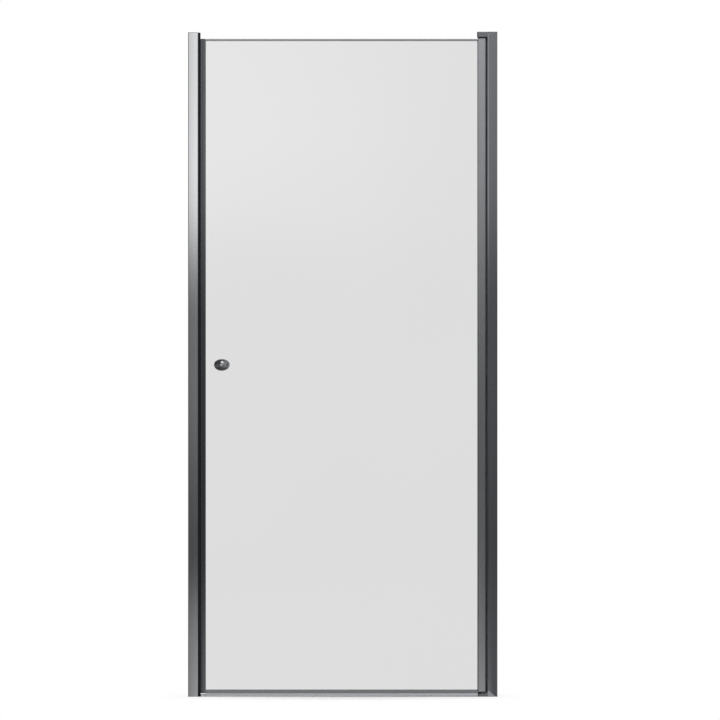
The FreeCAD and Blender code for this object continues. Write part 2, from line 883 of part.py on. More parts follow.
def lower_pivot_plug():
    """End plate and spigot that fills the chamber, bored for the pin."""
    plate_top = hinge_bottom + plug_plate
    plate = upright(hinge_outer(), hinge_bottom, plate_top)
    spigot = upright(hinge_chamber(plug_play), hinge_bottom, plate_top + plug_length)
    plug = plate.fuse(spigot).removeSplitter()
    mouth = point(axis_x, 0, hinge_bottom)
    cuts = [rod(pin_radius, mouth, mouth + UP * pin_seat)]
    for place in plug_screw_places():
        length = plug_plate + plug_screw_grip
        cuts.append(countersink(place, UP, plug_screw_radius, plug_screw_head, length))
    return plug.cut(cuts)


def lower_plug_screws():
    length = plug_plate + plug_screw_grip
    return [countersunk(place, UP, plug_screw_radius, plug_screw_head, length)
            for place in plug_screw_places()]


def pivot_pin(seat_height, tip_height):
    """Pin from its seat in a plug to its tip in a block."""
    along = UP if tip_height > seat_height else -UP
    length = abs(tip_height - seat_height)
    corners = [(0, 0), (0, pin_radius), (length - pin_chamfer, pin_radius),
               (length, pin_radius - pin_chamfer), (length, 0)]
    return turned(corners, point(axis_x, 0, seat_height), along)


# Leaf: lower and upper edges, and the glass


def bottom_rail():
    """Glass pocket above, wiper slot below."""
    grip = pocket_width / 2
    floor = glass_bottom - gasket_base
    rounding = min(rail_round, rail_wall / 2)
    section = [(-rail_half, leaf_bottom, rounding), (rail_half, leaf_bottom, rounding),
               (rail_half, rail_top, rounding), (grip, rail_top, edge_round), (grip, floor, 0),
               (-grip, floor, 0), (-grip, rail_top, edge_round), (-rail_half, rail_top, rounding)]
    slot = hanging(tee_slot(-leaf_bottom, 0))
    left = closing_right + joint_gap
    return lying(section, left, rail_right).cut(lying(slot, left, rail_right))


def bay():
    """Clear span between the vertical gaskets' lips."""
    return closing_right + gasket_lip + joint_gap, hinge_left - gasket_lip - joint_gap


def bottom_rail_gasket():
    floor = glass_bottom - gasket_base
    section = gasket_section(-floor, -1, pocket_width / 2, gasket_base, rail_top - floor)
    left, right = bay()
    return lying(hanging(section), left, min(right, rail_right))


def bottom_wiper_seal():
    """Tee-rooted strip with two lips that ride over the threshold."""
    base = leaf_bottom - wiper_base
    inner = wiper_half - wiper_lip
    section = [(-wiper_half, leaf_bottom, 0), (-wiper_half, wiper_bottom, 0), (-inner, wiper_bottom, 0),
               (-inner + wiper_base, base, 0), (inner - wiper_base, base, 0), (inner, wiper_bottom, 0),
               (wiper_half, wiper_bottom, 0), (wiper_half, leaf_bottom, 0)]
    section += hanging(tee_root(-leaf_bottom, 0))
    return lying(section, closing_right + joint_gap, rail_right - wiper_setback)


def top_trim():
    grip = trim_pocket / 2
    floor = glass_top + gasket_base
    foot = leaf_top - trim_height
    rounding = min(rail_round, trim_wall / 2)
    section = [(-trim_half, foot, 0), (-grip, foot, 0), (-grip, floor, 0), (grip, floor, 0), (grip, foot, 0),
               (trim_half, foot, 0), (trim_half, leaf_top, rounding), (-trim_half, leaf_top, rounding)]
    left, right = bay()
    return lying(section, left, right)


def top_trim_gasket():
    floor = glass_top + gasket_base
    foot = leaf_top - trim_height
    section = gasket_section(-floor, 1, trim_pocket / 2, gasket_base, floor - foot)
    left, right = bay()
    return lying(hanging(section), left, right)


def glass_pane():
    corner = point(glass_left, -glass_thickness / 2, glass_bottom)
    pane = Part.makeBox(glass_right - glass_left, glass_thickness, glass_top - glass_bottom, corner)
    pane = pane.makeChamfer(glass_arris, pane.Edges)
    centre = point(knob_x, 0, knob_height)
    drill_reach = OUTSIDE * glass_thickness
    return pane.cut(rod(sleeve_outer() + sleeve_play, centre - drill_reach, centre + drill_reach))


# Knob through the glass


def sleeve_outer():
    return stud_radius + stud_play + sleeve_wall


def knob_face():
    """Distance of the knobs' feet from the glass's plane."""
    return glass_thickness / 2 + knob_gasket_thickness


def half_ellipsoid(centre, direction, bulge):
    """Half of the knob's oval head, bulging along direction."""
    stretch = FreeCAD.Matrix()
    stretch.scale(knob_head_width / 2, bulge, knob_head_height / 2)
    half = Part.makeSphere(1, point(0, 0, 0), direction, 0, 90, 360).transformGeometry(stretch)
    half.translate(centre)
    return half


def outer_knob():
    """Oval domed head on a flared round stem and foot, with a blind bore for the stud."""
    base = point(knob_x, -knob_face(), knob_height)
    chamfered = knob_foot_radius - knob_foot_chamfer
    stem = [(0, 0), (0, knob_foot_radius), (knob_foot_thickness - knob_foot_chamfer, knob_foot_radius),
            (knob_foot_thickness, chamfered), (knob_foot_thickness + knob_stem_flare, knob_stem_radius),
            (knob_head_centre, knob_stem_radius), (knob_head_centre, 0)]
    centre = base + OUTSIDE * knob_head_centre
    front = half_ellipsoid(centre, OUTSIDE, knob_front_bulge)
    back = half_ellipsoid(centre, -OUTSIDE, knob_back_bulge)
    knob = front.fuse(back).fuse(turned(stem, base, OUTSIDE)).removeSplitter()
    return knob.cut(rod(stud_radius + stud_play, base, base + OUTSIDE * (stud_engagement + stud_play)))


def grub_screw_blank():
    y = knob_face() + grub_offset
    return rod(grub_radius, point(knob_x, y, knob_height - stud_radius),
               point(knob_x, y, knob_height - knob_stem_radius))


def grub_screw():
    """Set screw from the stem's underside to the stud, with a hexagon socket in its outer end."""
    y = knob_face() + grub_offset
    end = knob_height - knob_stem_radius
    reach = socket_across / math.sqrt(3)
    turns = [math.radians(step) for step in range(0, 360, 60)]
    hexagon = [(knob_x + reach * math.cos(turn), y + reach * math.sin(turn), 0) for turn in turns]
    return grub_screw_blank().cut(upright(hexagon, end, end + socket_depth))


def inner_knob():
    knob = outer_knob().mirror(point(0, 0, 0), OUTSIDE)
    return knob.cut(grub_screw_blank())


def knob_ring(inner, outer, start, end):
    """Ring about the knob's axis between two depths from the glass's plane."""
    corners = [(start, inner), (start, outer), (end, outer), (end, inner)]
    return turned(corners, point(knob_x, 0, knob_height), -OUTSIDE)


def knob_gasket(sign):
    near = sign * glass_thickness / 2
    far = sign * knob_face()
    return knob_ring(sleeve_outer() + sleeve_play, knob_foot_radius, min(near, far), max(near, far))


def knob_sleeve():
    return knob_ring(stud_radius + stud_play, sleeve_outer(), -knob_face(), knob_face())


def knob_stud():
    reach = OUTSIDE * (knob_face() + stud_engagement)
    centre = point(knob_x, 0, knob_height)
    return rod(stud_radius, centre - reach, centre + reach)


lock_screws, lock_caps = lock_fasteners()
lower_plug = lower_pivot_plug()
plug_screws = lower_plug_screws()
lower_end_cap = closing_end_cap()
seal_bottom, seal_top = leaf_seal_span()
magnet_bottom = seal_bottom + joint_gap
magnet_top = seal_top - joint_gap

save("strike_wall_channel", [wall_channel(STRIKE)])
save("strike_post", [post(STRIKE, 0, frame_top, [0, rear_slot_y])])
save("strike_magnet_seal", [strike_magnet_seal()])
save("strike_magnet_strip", [magnet(strike_face - magnet_skin, -1, 0, joint_gap, frame_top - joint_gap)])
save("strike_stop_seal", [strike_stop_seal()])
save("strike_top_cap", [strike_top_cap()])
save("hinge_wall_channel", [wall_channel(HINGE)])
save("hinge_post", [post(HINGE, lower_block_height, upper_block_bottom, [rear_slot_y])])
save("hinge_lip_seal", [hinge_lip_seal()])
save("hinge_top_cap", [hinge_top_cap()])
save("upper_pivot_block", [upper_pivot_block()])
save("lower_pivot_block", [lower_pivot_block()])
save("upper_pivot_bush", [pivot_bush(upper_block_bottom, UP, upper_block_height, upper_flange)])
save("lower_pivot_bush", [pivot_bush(lower_block_height, -UP, lower_block_height, bush_flange)])
save("thrust_washer", [thrust_washer()])
save("pivot_block_screws", pivot_block_screws())
save("post_lock_screws", lock_screws)
save("lock_screw_caps", lock_caps)
save("threshold_rail", [threshold_rail()])
save("threshold_end_plug", [threshold_end_plug()])
save("threshold_bedding_tape", [threshold_bedding_tape()])

save("glass_pane", [glass_pane()])
save("hinge_profile", [hinge_profile()])
save("hinge_gasket", [hinge_gasket()])
save("lower_pivot_plug", [lower_plug])
save("upper_pivot_plug", [at_top(lower_plug, hinge_bottom, hinge_top)])
save("lower_pivot_pin", [pivot_pin(hinge_bottom + pin_seat, block_end_wall + pin_end_gap)])
save("upper_pivot_pin", [pivot_pin(hinge_top - pin_seat, frame_top - block_end_wall - pin_end_gap)])
save("pivot_plug_screws", plug_screws + [at_top(screw, hinge_bottom, hinge_top) for screw in plug_screws])
save("closing_profile", [closing_profile()])
save("closing_gasket", [closing_gasket()])
save("leaf_magnet_seal", [leaf_magnet_seal()])
save("leaf_magnet_strip", [magnet(leaf_edge + magnet_skin, 1, 0, magnet_bottom, magnet_top)])
save("closing_lower_end_cap", [lower_end_cap])
save("closing_upper_end_cap", [at_top(lower_end_cap, leaf_bottom, leaf_top)])
save("bottom_rail", [bottom_rail()])
save("bottom_rail_gasket", [bottom_rail_gasket()])
save("bottom_wiper_seal", [bottom_wiper_seal()])
save("top_trim", [top_trim()])
save("top_trim_gasket", [top_trim_gasket()])
save("outer_knob", [outer_knob()])
save("inner_knob", [inner_knob()])
save("outer_knob_gasket", [knob_gasket(-1)])
save("inner_knob_gasket", [knob_gasket(1)])
save("knob_sleeve", [knob_sleeve()])
save("knob_stud", [knob_stud()])
save("knob_grub_screw", [grub_screw()])
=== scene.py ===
import bpy
import bmesh
import math
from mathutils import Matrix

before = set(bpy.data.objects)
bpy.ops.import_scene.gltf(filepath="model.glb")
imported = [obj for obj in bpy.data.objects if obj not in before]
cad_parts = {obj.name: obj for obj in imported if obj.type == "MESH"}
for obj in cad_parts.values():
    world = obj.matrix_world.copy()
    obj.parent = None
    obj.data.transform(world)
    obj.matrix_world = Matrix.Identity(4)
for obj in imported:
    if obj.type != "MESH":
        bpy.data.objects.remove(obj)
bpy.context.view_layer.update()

# Wall channels, the two outermost uprights, screwed to the walls and sealed there.
# Aluminium extrusions, bright dipped and clear anodised, with a crowned outer face.


def linear(colour):
    """Linear colour of an sRGB hex value."""
    parts = [int(colour[start:start + 2], 16) / 255 for start in (1, 3, 5)]
    return [part / 12.92 if part <= 0.04045 else ((part + 0.055) / 1.055) ** 2.4 for part in parts] + [1.0]


def add_node(tree, kind, settings=None, values=None, links=None):
    """Adds a node with its settings, its sockets' own values and the outputs that feed its sockets."""
    node = tree.nodes.new(kind)
    for name, value in (settings or {}).items():
        setattr(node, name, value)
    for socket, value in (values or {}).items():
        node.inputs[socket].default_value = value
    for socket, output in (links or {}).items():
        tree.links.new(output, node.inputs[socket])
    return node


def new_finish(name):
    """A named material, with its tree, its shader and the piece's own coordinates in metres."""
    material = bpy.data.materials.new(name)
    material.use_nodes = True
    tree = material.node_tree
    place = add_node(tree, "ShaderNodeTexCoord").outputs["Object"]
    return material, tree, tree.nodes["Principled BSDF"], place


def vary_finish(tree, shader, pattern, dark, light, smooth, rough):
    """Lets a pattern vary a finish's colour from dark to light and its roughness from smooth to rough."""
    tone = add_node(tree, "ShaderNodeMixRGB", values={"Color1": linear(dark), "Color2": linear(light)},
                    links={"Fac": pattern})
    gloss = add_node(tree, "ShaderNodeMapRange", values={"To Min": smooth, "To Max": rough},
                     links={"Value": pattern})
    tree.links.new(tone.outputs["Color"], shader.inputs["Base Color"])
    tree.links.new(gloss.outputs["Result"], shader.inputs["Roughness"])


def dress(material, *nodes):
    """Gives a finish to CAD nodes."""
    for node in nodes:
        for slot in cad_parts[node].material_slots:
            slot.material = material


# The axis that a profile's length runs along
UPRIGHT = 2
LEVEL = 0


def extruded_aluminium(name, dark, light, smooth, rough, along):
    """Aluminium pressed through a die, whose long lines vary its tone and gloss a little."""
    material, tree, shader, place = new_finish(name)
    # Die lines are about 0.3 mm apart; drawn 2.5 mm apart, so that they show at this distance
    line_width = 0.0025
    line_length = 0.7
    line_depth = 0.000004
    stretch = [1 / line_width] * 3
    stretch[along] = 1 / line_length
    lines_at = add_node(tree, "ShaderNodeMapping", values={"Scale": stretch}, links={"Vector": place})
    lines = add_node(tree, "ShaderNodeTexNoise", values={"Scale": 1.0, "Detail": 3.0, "Roughness": 0.6},
                     links={"Vector": lines_at.outputs["Vector"]}).outputs[0]
    vary_finish(tree, shader, lines, dark, light, smooth, rough)
    relief = add_node(tree, "ShaderNodeBump", values={"Strength": 0.6, "Distance": line_depth},
                      links={"Height": lines})
    tree.links.new(relief.outputs["Normal"], shader.inputs["Normal"])
    shader.inputs["Metallic"].default_value = 1.0
    return material


# Bright-dipped anodised aluminium: a near mirror, softened by the oxide and the die lines
bright_upright = extruded_aluminium("bright_anodised_aluminium_upright", dark="#E2E3E6", light="#E9EAEC",
                                    smooth=0.05, rough=0.08, along=UPRIGHT)
dress(bright_upright, "strike_wall_channel", "hinge_wall_channel")

# Telescoping posts, which slide in the channels to take up walls out of true.
# The same bright aluminium, drawn hollow, with slots for the seals and ports for the screws.

dress(bright_upright, "strike_post", "hinge_post")

# Threshold, a low splash bar across the tray, with a moulded plug at its open end.
# Bright aluminium laid flat on a strip of tacky tape and sealed at the edges.

# Bright-dipped anodised aluminium with level die lines, a little duller from wear underfoot
bright_level = extruded_aluminium("bright_anodised_aluminium_level", dark="#E2E3E6", light="#E9EAEC",
                                  smooth=0.10, rough=0.16, along=LEVEL)
dress(bright_level, "threshold_rail")

# Polypropylene moulded in a spark-eroded tool: a dull black with a fine even grain
black_moulding, tree, shader, place = new_finish("black_polypropylene_moulded")
grain_size = 0.0008
grain_depth = 0.00005
grain = add_node(tree, "ShaderNodeTexNoise", values={"Scale": 1 / grain_size, "Detail": 2.0},
                 links={"Vector": place}).outputs[0]
vary_finish(tree, shader, grain, dark="#141415", light="#1F1F20", smooth=0.42, rough=0.58)
relief = add_node(tree, "ShaderNodeBump", values={"Strength": 0.3, "Distance": grain_depth},
                  links={"Height": grain})
tree.links.new(relief.outputs["Normal"], shader.inputs["Normal"])
dress(black_moulding, "threshold_end_plug")

# Butyl on a foam strip: nearly black and dead matt, with coarse pores along the cut edge
butyl_tape, tree, shader, place = new_finish("butyl_foam_tape_cut")
pore_size = 0.0015
pore_depth = 0.0002
pores = add_node(tree, "ShaderNodeTexVoronoi", values={"Scale": 1 / pore_size},
                 links={"Vector": place}).outputs[0]
tone = add_node(tree, "ShaderNodeMixRGB", values={"Color1": linear("#1C1C1C"), "Color2": linear("#303030")},
                links={"Fac": pores})
relief = add_node(tree, "ShaderNodeBump", values={"Strength": 0.5, "Distance": pore_depth},
                  links={"Height": pores})
tree.links.new(tone.outputs["Color"], shader.inputs["Base Color"])
tree.links.new(relief.outputs["Normal"], shader.inputs["Normal"])
shader.inputs["Roughness"].default_value = 0.9
dress(butyl_tape, "threshold_bedding_tape")

# Pivot blocks above and below the hinge edge, each held by two screws in the hinge post's ports.
# Zinc castings, chromed, with a bored seat for the bush; the lower one's cheek closes the channel's foot.

# Chrome on cast zinc: darker than the aluminium, waving slightly, as polishing leaves a casting
chromed_zinc, tree, shader, place = new_finish("dark_chrome_on_zinc_casting")
wave_size = 0.009
wave_depth = 0.00003
waves = add_node(tree, "ShaderNodeTexNoise", values={"Scale": 1 / wave_size, "Detail": 2.0},
                 links={"Vector": place}).outputs[0]
vary_finish(tree, shader, waves, dark="#9D9FA2", light="#A7A9AC", smooth=0.10, rough=0.14)
relief = add_node(tree, "ShaderNodeBump", values={"Strength": 0.4, "Distance": wave_depth},
                  links={"Height": waves})
tree.links.new(relief.outputs["Normal"], shader.inputs["Normal"])
shader.inputs["Metallic"].default_value = 1.0
dress(chromed_zinc, "upper_pivot_block", "lower_pivot_block")

# Bearings of the leaf: flanged bushes pressed into the blocks, and a washer that carries its weight.
# Black acetal, turned from bar; the flanges show as dark lines above and below the hinge profile.

# Black acetal: a dense black plastic with a waxy sheen and faint tool marks
black_acetal, tree, shader, place = new_finish("black_acetal_turned")
mark_spacing = 0.0006
mark_length = 0.005
marks_at = add_node(tree, "ShaderNodeMapping",
                    values={"Scale": [1 / mark_length, 1 / mark_length, 1 / mark_spacing]},
                    links={"Vector": place})
marks = add_node(tree, "ShaderNodeTexNoise", values={"Scale": 1.0, "Detail": 1.0},
                 links={"Vector": marks_at.outputs["Vector"]}).outputs[0]
vary_finish(tree, shader, marks, dark="#121213", light="#1C1C1E", smooth=0.32, rough=0.45)
shader.inputs["IOR"].default_value = 1.48
dress(black_acetal, "upper_pivot_bush", "lower_pivot_bush", "thrust_washer")

# Screws of the blocks, the posts and the plugs, the pins that the leaf turns on,
# and the stud and grub screw that join the two knobs. Stainless steel, turned and rolled.

# Stainless steel: a warm grey metal, with the close rings that a lathe leaves
turned_steel, tree, shader, place = new_finish("stainless_steel_turned")
ring_spacing = 0.0005
ring_depth = 0.00001
# A ring keeps its tone for about 7 mm
ring_length = 1 / 150
rings_at = add_node(tree, "ShaderNodeMapping",
                    values={"Scale": [1 / ring_length, 1 / ring_length, 1 / ring_spacing]},
                    links={"Vector": place})
rings = add_node(tree, "ShaderNodeTexNoise", values={"Scale": 1.0, "Detail": 2.0},
                 links={"Vector": rings_at.outputs["Vector"]}).outputs[0]
vary_finish(tree, shader, rings, dark="#B4B2AE", light="#C8C6C2", smooth=0.22, rough=0.38)
relief = add_node(tree, "ShaderNodeBump", values={"Strength": 0.3, "Distance": ring_depth},
                  links={"Height": rings})
tree.links.new(relief.outputs["Normal"], shader.inputs["Normal"])
shader.inputs["Metallic"].default_value = 1.0
dress(turned_steel, "pivot_block_screws", "post_lock_screws", "pivot_plug_screws")
dress(turned_steel, "lower_pivot_pin", "upper_pivot_pin", "knob_stud", "knob_grub_screw")

# Caps on the channels' tops, on the leaf's free edge and over the lock screws.
# ABS, moulded and chrome plated, pushed or snapped in place.

# Chrome on moulded ABS: softer than on metal, with the moulding's slight unevenness
plated_plastic, tree, shader, place = new_finish("chrome_on_abs_moulded")
sink_size = 0.006
sink_depth = 0.00004
sinks = add_node(tree, "ShaderNodeTexNoise", values={"Scale": 1 / sink_size, "Detail": 3.0},
                 links={"Vector": place}).outputs[0]
vary_finish(tree, shader, sinks, dark="#9A9DA0", light="#ACAEB1", smooth=0.16, rough=0.28)
relief = add_node(tree, "ShaderNodeBump", values={"Strength": 0.4, "Distance": sink_depth},
                  links={"Height": sinks})
tree.links.new(relief.outputs["Normal"], shader.inputs["Normal"])
shader.inputs["Metallic"].default_value = 1.0
dress(plated_plastic, "strike_top_cap", "hinge_top_cap", "lock_screw_caps")
dress(plated_plastic, "closing_lower_end_cap", "closing_upper_end_cap")

# Black seals: magnetic strips that meet down the leaf's free edge, and the stop fin behind them.
# Soft PVC, extruded, with roots slid into slots of the strike post and the closing profile;
# each magnetic strip holds a bar of ferrite rubber.

# Soft black PVC: deep black, faintly streaked along its length, with a low sheen
black_vinyl, tree, shader, place = new_finish("soft_black_pvc_extruded")
# Streaks of the die are under 0.5 mm wide; drawn 1.5 mm wide, so that they show
streak_width = 0.0015
streak_length = 0.25
streak_depth = 0.00003
streaks_at = add_node(tree, "ShaderNodeMapping",
                      values={"Scale": [1 / streak_width, 1 / streak_width, 1 / streak_length]},
                      links={"Vector": place})
streaks = add_node(tree, "ShaderNodeTexNoise", values={"Scale": 1.0, "Detail": 2.0},
                   links={"Vector": streaks_at.outputs["Vector"]}).outputs[0]
vary_finish(tree, shader, streaks, dark="#09090A", light="#141416", smooth=0.42, rough=0.6)
relief = add_node(tree, "ShaderNodeBump", values={"Strength": 0.3, "Distance": streak_depth},
                  links={"Height": streaks})
tree.links.new(relief.outputs["Normal"], shader.inputs["Normal"])
shader.inputs["IOR"].default_value = 1.53
dress(black_vinyl, "strike_magnet_seal", "strike_stop_seal", "leaf_magnet_seal")

# Ferrite powder in rubber: a dull brown-black bar with a sandy cut face
ferrite_rubber, tree, shader, place = new_finish("ferrite_filled_rubber_extruded")
speck_size = 0.0006
specks = add_node(tree, "ShaderNodeTexNoise", values={"Scale": 1 / speck_size, "Detail": 3.0},
                  links={"Vector": place}).outputs[0]
tone = add_node(tree, "ShaderNodeMixRGB", values={"Color1": linear("#241F1C"), "Color2": linear("#3A3430")},
                links={"Fac": specks})
tree.links.new(tone.outputs["Color"], shader.inputs["Base Color"])
shader.inputs["Roughness"].default_value = 0.8
dress(ferrite_rubber, "strike_magnet_strip", "leaf_magnet_strip")

# Glass of the leaf, with a hole for the knob, held on all four edges by profiles.
# Clear float glass of 5 mm, ground at the edges and toughened.

# Float glass: neutral, with the very slight unevenness of tint that its thickness gives
clear_glass, tree, shader, place = new_finish("clear_float_glass_toughened")
ripple_size = 0.35
ripple = add_node(tree, "ShaderNodeTexNoise", values={"Scale": 1 / ripple_size, "Detail": 0.0},
                  links={"Vector": place}).outputs[0]
tone = add_node(tree, "ShaderNodeMixRGB", values={"Color1": linear("#E4E4E4"), "Color2": linear("#E6E6E6")},
                links={"Fac": ripple})
tree.links.new(tone.outputs["Color"], shader.inputs["Base Color"])
shader.inputs["Roughness"].default_value = 0.0
shader.inputs["IOR"].default_value = 1.52
shader.inputs["Transmission Weight"].default_value = 1.0
dress(clear_glass, "glass_pane")
# Clear glass throws next to no shadow, and the metal mirrors the dark studio past it,
# not the white backdrop through it
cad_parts["glass_pane"].visible_shadow = False
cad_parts["glass_pane"].visible_glossy = False

# Gaskets that line the profiles' pockets and grip the glass, and the fin behind the hinge profile.
# Grey soft PVC, extruded; the gaskets are a U pressed over the glass's edges, the fin slides into the post.


def grey_pvc(name, dark, light):
    """Soft grey PVC, extruded: matt, with a trace of bloom."""
    material, tree, shader, place = new_finish(name)
    bloom_size = 0.004
    bloom = add_node(tree, "ShaderNodeTexNoise", values={"Scale": 1 / bloom_size, "Detail": 3.0},
                     links={"Vector": place}).outputs[0]
    vary_finish(tree, shader, bloom, dark, light, smooth=0.5, rough=0.65)
    shader.inputs["IOR"].default_value = 1.53
    return material


# Grey PVC of the gaskets: a matt mid grey
grey_vinyl = grey_pvc("soft_grey_pvc_extruded", dark="#55575A", light="#64666A")
dress(grey_vinyl, "hinge_gasket", "closing_gasket", "bottom_rail_gasket", "top_trim_gasket")

# Pale grey PVC of the fin, the gaskets' compound made pale: painted light that lightens the shaded gap
# beside the hinge profile
gap_lightening_vinyl = grey_pvc("soft_pale_grey_pvc_extruded", dark="#7C7E81", light="#8A8C90")
dress(gap_lightening_vinyl, "hinge_lip_seal")

# Hinge profile, the square upright that the leaf turns with, and the plugs screwed into its ends.
# Aluminium, satin anodised, over zinc plugs that hold the pivot pins.

# Satin anodised aluminium: etched before anodising, so that it spreads what it mirrors
satin_upright = extruded_aluminium("satin_anodised_aluminium_upright", dark="#DADBDE", light="#E2E3E5",
                                   smooth=0.11, rough=0.14, along=UPRIGHT)
dress(satin_upright, "hinge_profile")

# Zinc, tumbled after casting: grey, finely grained and half bright
cast_zinc, tree, shader, place = new_finish("zinc_die_cast_tumbled")
grit_size = 0.001
grit_depth = 0.00008
grit = add_node(tree, "ShaderNodeTexNoise", values={"Scale": 1 / grit_size, "Detail": 3.0},
                links={"Vector": place}).outputs[0]
vary_finish(tree, shader, grit, dark="#B9BBBE", light="#C6C8CB", smooth=0.2, rough=0.3)
relief = add_node(tree, "ShaderNodeBump", values={"Strength": 0.4, "Distance": grit_depth},
                  links={"Height": grit})
tree.links.new(relief.outputs["Normal"], shader.inputs["Normal"])
shader.inputs["Metallic"].default_value = 1.0
dress(cast_zinc, "lower_pivot_plug", "upper_pivot_plug")

# Closing profile, the slim upright on the leaf's free edge, whose face slopes down to the glass.
# Bright aluminium like the channels', anodised clear, with a darker base colour that is painted shade.

# Bright dipped and anodised aluminium, its base colour darkened as painted shade: a dimmer mirror than the
# channels
shade_darkened_upright = extruded_aluminium("bright_anodised_aluminium_painted_shade", dark="#BABCC2", light="#C4C6CB",
                                  smooth=0.07, rough=0.11, along=UPRIGHT)
dress(shade_darkened_upright, "closing_profile")

# Rail under the glass and trim over it, cut square between the uprights.
# Aluminium, satin anodised, pressed over the gaskets; the rail is etched longer and looks duller.

# Satin anodised aluminium of the trim, with level die lines: a soft pale sheen
satin_level = extruded_aluminium("satin_anodised_aluminium_level", dark="#C8C9CD", light="#D2D3D6",
                                 smooth=0.20, rough=0.28, along=LEVEL)
dress(satin_level, "top_trim")

# Dull anodised aluminium of the rail: greyer, and what it mirrors is spread wider
dull_level = extruded_aluminium("dull_anodised_aluminium_level", dark="#B2B4B9", light="#BCBEC2",
                                smooth=0.24, rough=0.32, along=LEVEL)
dress(dull_level, "bottom_rail")

# Wiper under the rail, and the thin washers between the knob and the glass.
# Clear soft PVC: the wiper slides into the rail's slot, the washers lie under the knob's feet.

# Clear PVC: milky where it is thick, with a soft gloss
clear_vinyl, tree, shader, place = new_finish("soft_clear_pvc_extruded")
haze_size = 0.003
haze = add_node(tree, "ShaderNodeTexNoise", values={"Scale": 1 / haze_size, "Detail": 2.0},
                links={"Vector": place}).outputs[0]
vary_finish(tree, shader, haze, dark="#D5DADB", light="#E4E8E8", smooth=0.28, rough=0.4)
shader.inputs["IOR"].default_value = 1.53
shader.inputs["Transmission Weight"].default_value = 0.5
dress(clear_vinyl, "bottom_wiper_seal", "outer_knob_gasket", "inner_knob_gasket")

# Knob, an oval head on a flared stem on each side of the glass, joined by a stud through it.
# Brass, polished and chromed; a grub screw under the inner stem locks it to the stud.

# Chrome on brass: a deep clear mirror, with the faintest haze from handling
chromed_brass, tree, shader, place = new_finish("chrome_on_brass_polished")
touch_size = 0.012
touch = add_node(tree, "ShaderNodeTexNoise", values={"Scale": 1 / touch_size, "Detail": 4.0},
                 links={"Vector": place}).outputs[0]
vary_finish(tree, shader, touch, dark="#C9CBCF", light="#D2D4D7", smooth=0.05, rough=0.11)
shader.inputs["Metallic"].default_value = 1.0
dress(chromed_brass, "outer_knob", "inner_knob")

# Natural acetal of the sleeve that keeps the stud off the glass: milky, with a waxy sheen
natural_acetal, tree, shader, place = new_finish("natural_acetal_moulded")
cloud_size = 0.004
clouds = add_node(tree, "ShaderNodeTexNoise", values={"Scale": 1 / cloud_size, "Detail": 2.0},
                  links={"Vector": place}).outputs[0]
vary_finish(tree, shader, clouds, dark="#E4E3DD", light="#EFEEE9", smooth=0.32, rough=0.45)
shader.inputs["IOR"].default_value = 1.48
shader.inputs["Subsurface Weight"].default_value = 0.1
shader.inputs["Subsurface Radius"].default_value = (0.002, 0.002, 0.0015)
dress(natural_acetal, "knob_sleeve")

# Studio: a pale floor that keeps the door's shadow and fades to white at a distance.
# Nothing here is part of the door.


def stage_piece(name, mesh):
    """A piece of the studio, in the scene but not part of the door."""
    shape = bpy.data.meshes.new(name)
    mesh.to_mesh(shape)
    mesh.free()
    piece = bpy.data.objects.new(name, shape)
    bpy.context.scene.collection.objects.link(piece)
    return piece


floor_reach = 6.0
# Just under the door, so that no two faces lie in one plane
floor_drop = 0.0003
floor_mesh = bmesh.new()
bmesh.ops.create_grid(floor_mesh, x_segments=1, y_segments=1, size=floor_reach)
bmesh.ops.translate(floor_mesh, vec=(0.0, 0.0, -floor_drop), verts=floor_mesh.verts)
floor = stage_piece("studio_floor", floor_mesh)
# The metal mirrors the studio surround in its place
floor.visible_glossy = False

# Pale matt paint, shown as plain white away from the door; distance along the door counts for less
floor_paint, tree, shader, place = new_finish("pale_matt_floor_paint")
fade_reach = 0.2
fade_weights = (0.3, 1.0, 0.0)
shader.inputs["Base Color"].default_value = linear("#F9F9F9")
shader.inputs["Roughness"].default_value = 0.9
shader.inputs["Specular IOR Level"].default_value = 0.0
apart = add_node(tree, "ShaderNodeVectorMath", {"operation": "MULTIPLY"}, {1: fade_weights}, {0: place})
distance = add_node(tree, "ShaderNodeVectorMath", {"operation": "LENGTH"},
                    links={0: apart.outputs["Vector"]}).outputs["Value"]
fade = add_node(tree, "ShaderNodeMapRange", {"interpolation_type": "SMOOTHSTEP"},
                {"From Min": 0.0, "From Max": fade_reach}, {"Value": distance}).outputs["Result"]
path = add_node(tree, "ShaderNodeLightPath")
seen = add_node(tree, "ShaderNodeMath", {"operation": "ADD", "use_clamp": True},
                links={0: path.outputs["Is Camera Ray"], 1: path.outputs["Is Transmission Ray"]}).outputs[0]
share = add_node(tree, "ShaderNodeMath", {"operation": "MULTIPLY"}, links={0: fade, 1: seen}).outputs[0]
white = add_node(tree, "ShaderNodeEmission", values={"Strength": 1.0})
blend = add_node(tree, "ShaderNodeMixShader",
                 links={0: share, 1: shader.outputs["BSDF"], 2: white.outputs[0]})
tree.links.new(blend.outputs[0], tree.nodes["Material Output"].inputs["Surface"])
floor.data.materials.append(floor_paint)

# Studio surround: a far round backdrop that only mirrored rays see. It stands for a dark room with a tall
# soft light to the left of the camera, weaker ones to the right, at the side, low down and overhead,
# a pale wall behind the door, and a faint glow of the room itself below eye level.

surround_radius = 120.0
surround_mesh = bmesh.new()
bmesh.ops.create_icosphere(surround_mesh, subdivisions=4, radius=surround_radius)
surround = stage_piece("studio_surround", surround_mesh)
surround.visible_camera = False
surround.visible_diffuse = False
surround.visible_transmission = False
surround.visible_shadow = False

